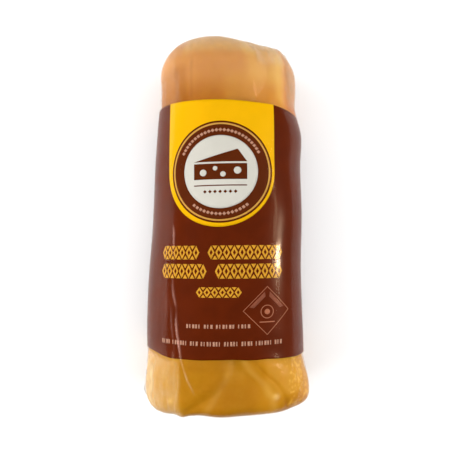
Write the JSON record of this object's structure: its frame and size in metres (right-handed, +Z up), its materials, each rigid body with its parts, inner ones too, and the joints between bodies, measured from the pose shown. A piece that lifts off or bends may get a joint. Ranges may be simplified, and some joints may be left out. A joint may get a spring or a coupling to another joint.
{
  "type": "smoked provolone cheese",
  "caption": "Braided block of smoked provolone cheese, sealed in clear shrink film, with a printed label band round its middle.",
  "frame": {"origin": "on the surface that the block lies on, at the centre of its outline", "axes": "+Z up from the flat underside, through the crown; +Y along the block, towards its domed end; +X to the right when +Y points away"},
  "size_m": [0.0797, 0.18, 0.0503],
  "materials": {
    "cheese": "smooth smoked rind, slightly waxy",
    "label": "glossy printed film",
    "film": "clear glossy shrink film"
  },
  "bodies": {
    "root": {"cheese_in_film": "cheese", "label": "label"}
  },
  "joints": []
}
